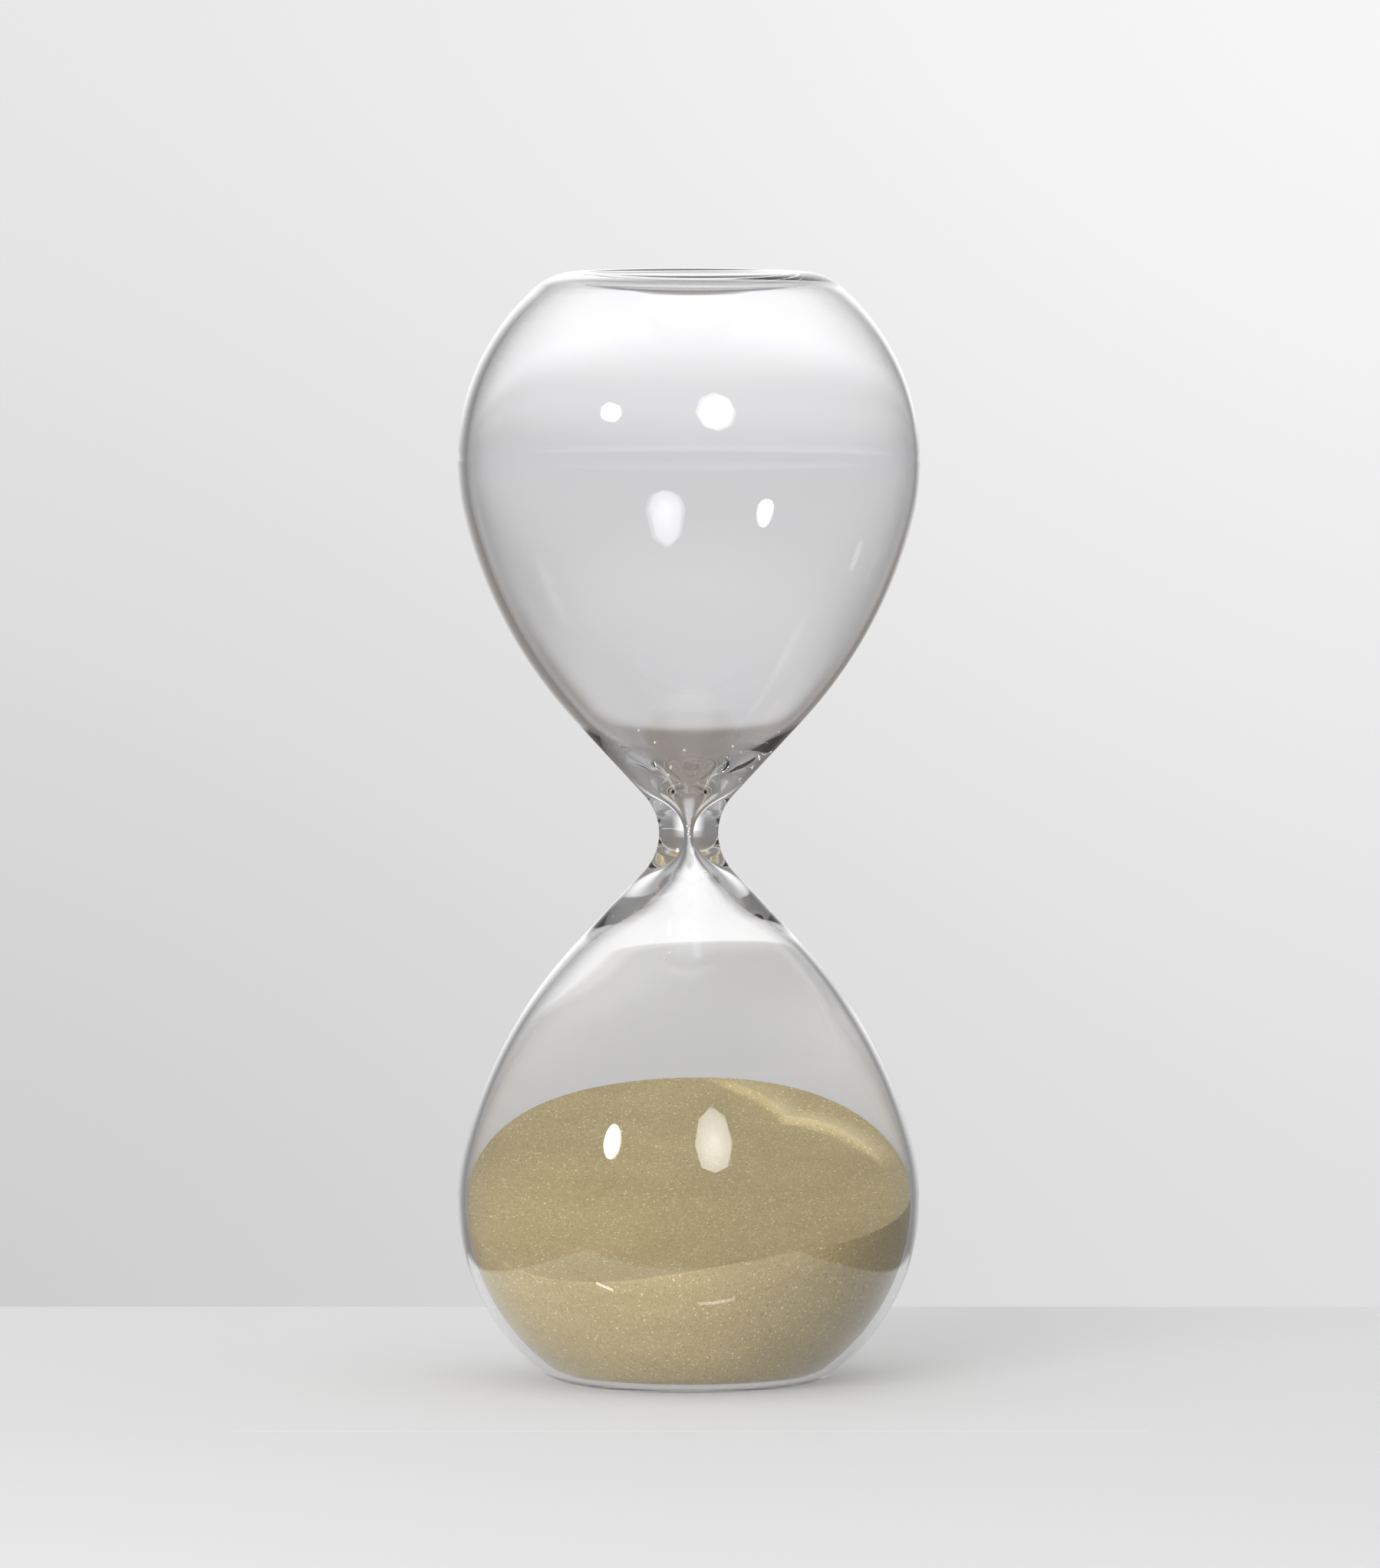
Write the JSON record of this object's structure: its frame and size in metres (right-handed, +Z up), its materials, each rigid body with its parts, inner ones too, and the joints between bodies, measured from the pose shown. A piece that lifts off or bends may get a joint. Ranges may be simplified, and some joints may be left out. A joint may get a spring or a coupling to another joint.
{
  "type": "hourglass",
  "caption": "Frameless blown-glass hourglass: a pair of round bulbs fused at a thick narrow neck, dished flat-ring ends, loose beige sand run down into the lower bulb",
  "frame": {"origin": "middle of the ring that the lower bulb stands on, in the plane of the table", "axes": "+Z up along the axis of both bulbs, -Y to the front, +X to the right seen from the front"},
  "size_m": [0.104, 0.104, 0.25],
  "materials": {
    "glass": "polished",
    "sand": "matte",
    "plug": "satin"
  },
  "bodies": {
    "glass": {"upper_bulb": "glass", "lower_bulb": "glass", "fill_plug": "plug", "clinging_grains": "sand"},
    "sand": {"sand_charge": "sand"},
    "grains": {"throat_grains": "sand"}
  },
  "joints": [
    {"name": "sand_swirl", "type": "hinge", "parent": "glass", "child": "sand", "pos_m": [0, 0, 0.03], "axis": [0, 0, 1], "continuous": true},
    {"name": "grain_run", "type": "slide", "parent": "glass", "child": "grains", "axis": [0, 0, 1], "range_m": [-0.075, 0.118]}
  ]
}
